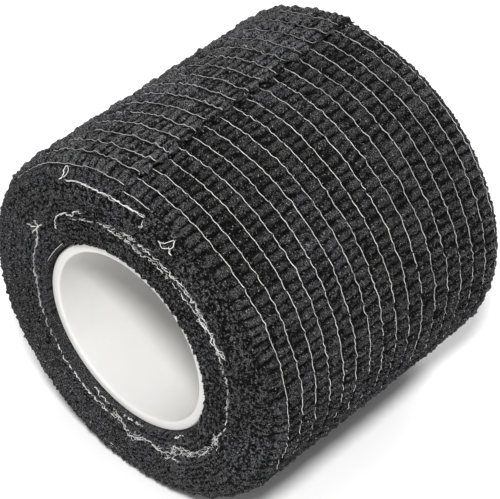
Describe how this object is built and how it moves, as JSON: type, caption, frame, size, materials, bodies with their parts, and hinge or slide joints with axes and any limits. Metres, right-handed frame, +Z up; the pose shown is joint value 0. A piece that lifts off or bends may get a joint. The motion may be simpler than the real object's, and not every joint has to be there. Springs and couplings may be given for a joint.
{
  "type": "grip tape roll",
  "caption": "Roll of self-adhesive elastic grip wrap on a plastic core tube, lying on its side, with a loose end that peels up.",
  "frame": {"origin": "on the surface the roll lies on, below the middle of its axis", "axes": "+Z up, Y along the roll's axis with the front end at -Y, +X towards the side that the loose end points to"},
  "size_m": [0.0552, 0.05, 0.0555],
  "materials": {
    "core": "moulded white polypropylene, soft sheen",
    "web": "black crepe nonwoven with a dry latex coat",
    "yarn": "off-white elastic yarn, matt"
  },
  "bodies": {
    "roll": {"core_tube": "core", "wound_tape": "web", "elastic_yarn_01": "yarn", "elastic_yarn_02": "yarn", "elastic_yarn_03": "yarn", "elastic_yarn_04": "yarn", "elastic_yarn_05": "yarn", "elastic_yarn_06": "yarn", "elastic_yarn_07": "yarn", "elastic_yarn_08": "yarn", "elastic_yarn_09": "yarn", "elastic_yarn_10": "yarn", "elastic_yarn_11": "yarn", "elastic_yarn_12": "yarn", "elastic_yarn_13": "yarn", "elastic_yarn_14": "yarn", "elastic_yarn_15": "yarn", "elastic_yarn_16": "yarn", "elastic_yarn_17": "yarn", "elastic_yarn_18": "yarn"},
    "loose_end": {"loose_end": "web", "loose_end_yarn_01": "yarn", "loose_end_yarn_02": "yarn", "loose_end_yarn_03": "yarn", "loose_end_yarn_04": "yarn", "loose_end_yarn_05": "yarn", "loose_end_yarn_06": "yarn", "loose_end_yarn_07": "yarn", "loose_end_yarn_08": "yarn", "loose_end_yarn_09": "yarn", "loose_end_yarn_10": "yarn", "loose_end_yarn_11": "yarn", "loose_end_yarn_12": "yarn", "loose_end_yarn_13": "yarn", "loose_end_yarn_14": "yarn", "loose_end_yarn_15": "yarn", "loose_end_yarn_16": "yarn", "loose_end_yarn_17": "yarn", "loose_end_yarn_18": "yarn"}
  },
  "joints": [
    {"name": "loose_end_peel", "type": "hinge", "parent": "roll", "child": "loose_end", "pos_m": [-0.01289, 0, 0.05236], "axis": [0, -1, 0], "range_deg": [0, 80]}
  ]
}
